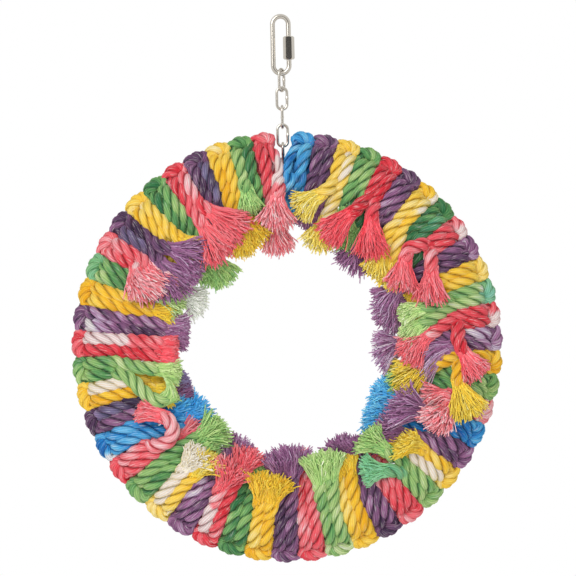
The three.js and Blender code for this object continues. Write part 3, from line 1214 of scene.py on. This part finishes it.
        # Each yarn's tone differs at random and is lifted lighter overall and towards the tips; the
        # overall lift is painted light against the tassel's own shade.
        tone_with_painted_lift = rng.normal(0.08, 0.09, (count, 1)) + 0.09 * u
        dye = self.dye(tie, np.full_like(tone_with_painted_lift, 0.97 * side), tone_with_painted_lift, 0.5)
        dye[..., 2] = rng.uniform(0.0, 1.0, (count, 1))
        dye[..., 3] = 0.0
        dye = np.repeat(dye.reshape(-1, 4), self.yarn_sides, axis=0)
        return Surface(points.reshape(-1, 3), quads, uvs, dye)

    def surface(self, place: int, path: Arrays, tie: Tie) -> Surface:
        """The whole rope.

        Args:
            place: the rope's number, which seeds its chance.
            path: the rope's path between its two frays.
            tie: the rope's plan.

        Returns:
            Strands and yarns as one surface.
        """
        rng = np.random.default_rng(self.first_seed + place)
        length, centre, along, normal, beside, _, share = path
        height, spacing = self.rope_wave
        common = height * wander(rng, length, spacing)
        phase = rng.uniform(0.0, FULL_TURN)
        parts = []
        for k in range(self.strands):
            own = common
            for height, spacing in self.strand_waves:
                own = own + height * wander(rng, length, spacing)
            own = own + rng.normal(0.0, self.strand_chance)
            dye = self.dye(tie, share, own, rng.uniform())
            angle = phase + FULL_TURN * k / self.strands
            parts.append(self.strand(path, angle, dye, rng.uniform()))
        first = (centre[0], -along[0], normal[0], -beside[0])
        last = (centre[-1], along[-1], normal[-1], beside[-1])
        parts.append(self.tassel(rng, tie, tie.left, first, -1.0))
        parts.append(self.tassel(rng, tie, tie.right, last, 1.0))
        return Surface.joined(parts)


@dataclass
class Dressing:
    """All ropes of the ring."""

    ring: Ring
    knot: Knot
    packing: Packing
    route: Route
    rope: Rope
    frayed: float = 0.82
    shortest: float = 8.0

    def build(self, cotton: dict[Dye, Material]) -> list[Piece]:
        """Ties every rope, lets the ends settle, and makes one piece of each rope.

        Args:
            cotton: the material of each dye.

        Returns:
            The new pieces.
        """
        starts = self.ring.starts()
        middle, width = (starts[:-1] + starts[1:]) / 2, np.diff(starts)
        halves = []
        stops = []
        for i, tie in enumerate(TIES):
            for end, sign in ((tie.left, -1.0), (tie.right, 1.0)):
                local, outward, sizes = self.knot.half(self.ring, width[i], sign, end.shift)
                tied = self.ring.world(local, middle[i])
                halves.append((tied, self.ring.direction(outward, middle[i]), sizes))
                stop = [tied[-1]]
                first = math.degrees(math.atan2(local[-1, 2], local[-1, 0]))
                early = first + self.packing.lean_early * (end.lean - first)
                near = ((local[-1, 0] + end.reach) / 2, early)
                for reach, lean in (*(end.via or (near,)), (end.reach, end.lean)):
                    at = np.array([reach, end.level.value, 0.0])
                    stop.append(self.ring.world(at, middle[i] + math.radians(lean)))
                stops.append(np.array(stop))
        before = np.array([half[0][-2] for half in halves])
        chains = self.packing.settle(self.ring, before, stops)
        made = []
        for i, tie in enumerate(TIES):
            path = self.path(middle[i], tie, halves[2 * i : 2 * i + 2], chains[2 * i : 2 * i + 2])
            dye = dye_of(i)
            word = dye.value.split("_")[1]
            surface = self.rope.surface(i, path, tie)
            piece = surface.piece(f"tied_rope_{i + 1:02d}", cotton[dye])
            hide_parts(f"rope_{i + 1:02d}_{word}")
            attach(piece, "ring")
            made.append(piece)
        return made

    def path(
        self, angle: float, tie: Tie, halves: list[Arrays], chains: Array
    ) -> Arrays:
        """One rope's path from fray to fray.

        Args:
            angle: the rope's place on the hoop.
            tie: its plan.
            halves: points, outward directions and sizes of its two half knots.
            chains: the settled points of its two ends.

        Returns:
            The path as Route.carried gives it, and the place along the rope from -1 to 1.
        """
        radius = self.knot.rope_radius
        tails = []
        for half, chain, end in zip(halves, chains, (tie.left, tie.right)):
            run = lengths(chain)
            stop = max(run[-1] - self.frayed * end.fray, self.shortest)
            kept = np.append(run[run < stop - 2.0], stop)
            body = np.stack([np.interp(kept, run, chain[:, k]) for k in range(3)], axis=1)[1:]
            facing = np.broadcast_to(FRONT, body.shape)
            size = np.full((len(body), 2), radius * 1.1)
            tails.append([np.concatenate(pair) for pair in zip(half, (body, facing, size))])
        bight = np.array([[self.ring.radius + self.knot.over, self.knot.forward, 0.0]])
        top = (
            self.ring.world(bight, angle),
            self.ring.direction(np.array([[1.0, 0.0, 0.0]]), angle),
            np.array([[radius, radius * 1.06]]),
        )
        whole = (np.concatenate([tails[0][k][::-1], top[k], tails[1][k]]) for k in range(3))
        path = self.route.carried(*whole)
        gates = [halves[0][0][-4], top[0][0], halves[1][0][-4]]
        near = [path[0][np.argmin(np.linalg.norm(path[1] - gate, axis=1))] for gate in gates]
        share = np.interp(path[0], [0.0, *near, path[0][-1]], [-1.0, -0.5, 0.0, 0.5, 1.0])
        return (*path, share)


@dataclass
class Studio:
    """A pale floor, a white surround, soft lamps and a camera straight in front."""

    floor_height: float = -0.70
    floor_reach: float = 30.0
    distance: float = 1.9
    frame_width: float = 0.4056
    roll: float = 1.2
    sensor: float = 36.0
    centre: tuple[float, float, float] = (0.0015, -0.012, -0.1908)

    def surround(self) -> None:
        """A world that lights softly, shows white to the eye, and is dark to metal behind the camera."""
        world = bpy.data.worlds.new("surround")
        bpy.context.scene.world = world
        world.use_nodes = True
        graph = Graph(world.node_tree)
        rays = graph.add("ShaderNodeLightPath").outputs
        seen = graph.math("MAXIMUM", rays["Is Camera Ray"], rays["Is Transmission Ray"])
        sky = graph.add("ShaderNodeTexCoord").outputs["Generated"]
        ahead = graph.add("ShaderNodeSeparateXYZ", Vector=sky).outputs[1]
        bright = graph.span(ahead, (-0.985, -0.93), (-0.45, 0.48))
        mirrored = graph.times(rays["Is Glossy Ray"], bright)
        lit = graph.line(seen, 0.49, 0.51)
        strength = graph.math("ADD", lit, mirrored)
        light = graph.add("ShaderNodeBackground", Color=(1.0, 1.0, 1.0, 1.0), Strength=strength)
        graph.add("ShaderNodeOutputWorld", Surface=light.outputs[0])

    def floor(self) -> None:
        """A pale floor that keeps the shadow near the object and fades to white further out."""
        corners = np.array([[-1, -1, 0], [1, -1, 0], [1, 1, 0], [-1, 1, 0]], float) * self.floor_reach
        corners[:, 2] = self.floor_height
        mesh = bpy.data.meshes.new("floor")
        mesh.from_pydata(corners.tolist(), [], [(0, 1, 2, 3)])
        obj = linked("floor", mesh)
        made, graph = Graph.material("pale_floor")
        place = graph.add("ShaderNodeTexCoord").outputs["Object"]
        far = graph.add("ShaderNodeVectorMath", operation="LENGTH", _0=place).outputs["Value"]
        fade = graph.span(far, (0.5, 1.8), (0.5, 1.0))
        rays = graph.add("ShaderNodeLightPath").outputs
        seen = graph.math("MAXIMUM", rays["Is Camera Ray"], rays["Is Transmission Ray"])
        shown = graph.math("MAXIMUM", seen, rays["Is Glossy Ray"])
        share = graph.times(shown, fade)
        matt = graph.add("ShaderNodeBsdfDiffuse", Color=(0.92, 0.92, 0.92, 1.0))
        glow = graph.add("ShaderNodeEmission", Color=(1.0, 1.0, 1.0, 1.0), Strength=1.0)
        both = graph.add("ShaderNodeMixShader", _0=share, _1=matt.outputs[0], _2=glow.outputs[0])
        graph.add("ShaderNodeOutputMaterial", Surface=both.outputs[0])
        mesh.materials.append(made)

    def lamp(
        self, name: str, place: tuple[float, float, float], size: float, power: float, mirrored: bool
    ) -> None:
        """A square soft lamp that faces the ring.

        Args:
            name: the lamp's name.
            place: where it stands, in metres.
            size: its side, in metres.
            power: its power, in watts.
            mirrored: whether the steel mirrors it.
        """
        light = bpy.data.lights.new(name, "AREA")
        light.size, light.energy = size, power
        obj = linked(name, light)
        obj.location = place
        aim = Vector((0.0, 0.0, -0.2)) - Vector(place)
        obj.rotation_euler = aim.to_track_quat("-Z", "Y").to_euler()
        obj.visible_glossy = mirrored

    def camera(self) -> None:
        """A camera that looks along +Y, rolled as the hanging line leans in the picture."""
        data = bpy.data.cameras.new("camera")
        data.sensor_width = self.sensor
        data.lens = self.sensor * self.distance / self.frame_width
        obj = linked("camera", data)
        turn = math.radians(self.roll)
        right = Vector((math.cos(turn), 0.0, -math.sin(turn)))
        up = Vector((math.sin(turn), 0.0, math.cos(turn)))
        back = Vector((0.0, -1.0, 0.0))
        basis = Matrix((right, up, back)).transposed().to_4x4()
        obj.matrix_world = Matrix.Translation(Vector(self.centre) + back * self.distance) @ basis
        bpy.context.scene.camera = obj

    def build(self) -> None:
        """Sets up surround, floor, lamps and camera."""
        bpy.context.scene.view_settings.view_transform = "Standard"
        self.surround()
        self.floor()
        self.lamp("key", (-0.7, -1.25, 0.55), 0.9, 11.0, mirrored=True)
        self.lamp("front", (0.1, -1.75, -0.05), 1.0, 12.2, mirrored=False)
        self.lamp("back", (0.35, 1.7, 0.3), 1.0, 22.0, mirrored=False)
        self.camera()


def write_sizes() -> None:
    """Updates the view layer."""
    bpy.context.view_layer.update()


def main() -> None:
    """Builds hardware, hoop, ropes and studio in order."""
    logging.basicConfig(level=logging.INFO, format="%(message)s")
    nickel = NICKEL.material()
    drawn = DRAWN.material()
    cotton = {dye: finish.material(dye) for dye, finish in COTTON.items()}
    ring, knot = Ring(), Knot()
    made = QuickLink().build(nickel) + Chain().build(nickel) + ring.build(drawn)
    made += Dressing(ring, knot, Packing(), Route(), Rope(ring, knot)).build(cotton)
    for piece in made:
        LOG.info("%s: %d faces", piece.name, len(piece.data.polygons))
    Studio().build()
    write_sizes()


if __name__ == "__main__":
    main()
